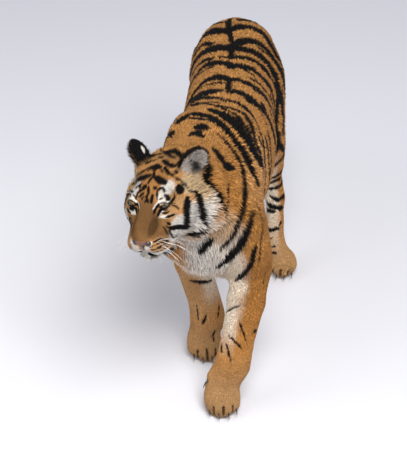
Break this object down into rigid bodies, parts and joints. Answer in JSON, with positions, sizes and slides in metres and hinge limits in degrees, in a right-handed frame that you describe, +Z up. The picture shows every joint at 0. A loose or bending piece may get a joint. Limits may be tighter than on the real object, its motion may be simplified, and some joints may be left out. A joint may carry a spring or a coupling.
{
  "type": "tiger",
  "caption": "Life-size still model of a walking Amur tiger in winter coat, head turned to its right, standing on its paws.",
  "frame": {"origin": "on the floor under the middle of the model's box", "axes": "+Z up; the animal walks towards -Y, its left side is towards +X"},
  "size_m": [0.6402, 2.0544, 1.0388],
  "materials": {
    "coat": "short winter fur, orange with black stripes, white below and on the face",
    "nose": "moist pebbled skin, pink with dark edges",
    "eye": "wet amber-green eye with a round dark pupil",
    "claw": "dark smooth horn"
  },
  "bodies": {
    "root": {"head": "coat", "lower_jaw": "coat", "nose": "nose", "eye_left": "eye", "ear_left": "coat", "eye_right": "eye", "ear_right": "coat", "neck": "coat", "trunk": "coat", "fore_left_upper": "coat", "fore_left_lower": "coat", "fore_left_paw": "coat", "fore_left_claw_1": "claw", "fore_left_claw_2": "claw", "fore_left_claw_3": "claw", "fore_left_claw_4": "claw", "fore_left_claw_5": "claw", "fore_right_upper": "coat", "fore_right_lower": "coat", "fore_right_paw": "coat", "fore_right_claw_1": "claw", "fore_right_claw_2": "claw", "fore_right_claw_3": "claw", "fore_right_claw_4": "claw", "fore_right_claw_5": "claw", "hind_left_upper": "coat", "hind_left_lower": "coat", "hind_left_paw": "coat", "hind_left_claw_1": "claw", "hind_left_claw_2": "claw", "hind_left_claw_3": "claw", "hind_left_claw_4": "claw", "hind_right_upper": "coat", "hind_right_lower": "coat", "hind_right_paw": "coat", "hind_right_claw_1": "claw", "hind_right_claw_2": "claw", "hind_right_claw_3": "claw", "hind_right_claw_4": "claw", "tail_root": "coat", "tail_middle": "coat", "tail_tip": "coat"}
  },
  "joints": []
}
